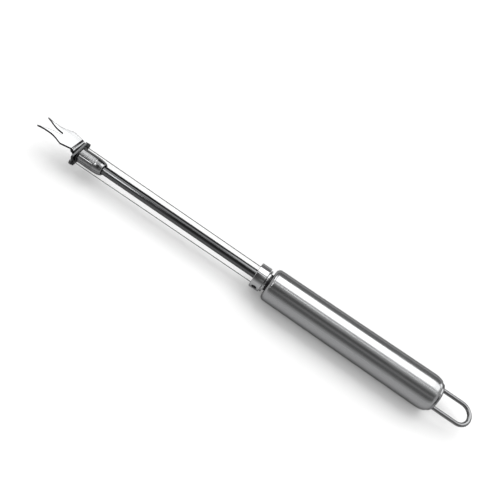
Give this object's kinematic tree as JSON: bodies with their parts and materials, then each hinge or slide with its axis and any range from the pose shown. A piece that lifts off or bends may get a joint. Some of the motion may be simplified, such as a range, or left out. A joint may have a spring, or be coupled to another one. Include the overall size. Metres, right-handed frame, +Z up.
{
  "type": "wire cheese slicer",
  "caption": "Slim hand cheese slicer with a round metal handle, hanging loop, straight shaft flanked by taut cutting wires, a knurled tension nut and a serving fork at the tip.",
  "frame": {"origin": "on the table under the middle of the tool's length, straight below the handle's axis", "axes": "+X along the tool from the fork to the hanging loop, +Y across it in the plane of the cutting wires, +Z up, to the fork's side"},
  "size_m": [0.2769, 0.0204, 0.0203],
  "materials": {
    "satin_steel": "satin, brushed along the tool",
    "polished_steel": "polished",
    "wire_steel": "drawn wire",
    "black_washer": "matt black"
  },
  "bodies": {
    "handle": {"handle_shell": "satin_steel", "handle_front_bush": "polished_steel", "handle_rear_cap": "polished_steel", "hang_loop": "polished_steel", "shaft": "polished_steel", "tail_washer": "polished_steel", "tail_nut": "polished_steel", "wire_collar": "polished_steel", "collar_spacer": "polished_steel", "wire_near": "wire_steel", "wire_far": "wire_steel", "rear_stop_near": "polished_steel", "rear_stop_far": "polished_steel"},
    "fork_carriage": {"fork_plate": "polished_steel", "wire_yoke": "satin_steel", "thrust_washer": "black_washer", "front_stop_near": "polished_steel", "front_stop_far": "polished_steel"},
    "tension_nut": {"tension_nut": "satin_steel"}
  },
  "joints": [
    {"name": "fork_slide", "type": "slide", "parent": "handle", "child": "fork_carriage", "axis": [-1, 0, 0], "range_m": [-0.0035, 0.00035], "deforming": ["wire_near", "wire_far"]},
    {"name": "nut_turn", "type": "hinge", "parent": "fork_carriage", "child": "tension_nut", "pos_m": [-0.10412, 0, 0.01017], "axis": [-1, 0, 0], "range_deg": [-1810, 190]}
  ],
  "couplings": [
    {"joint": "nut_turn", "follows": "fork_slide", "rad_per_m": 8976}
  ]
}
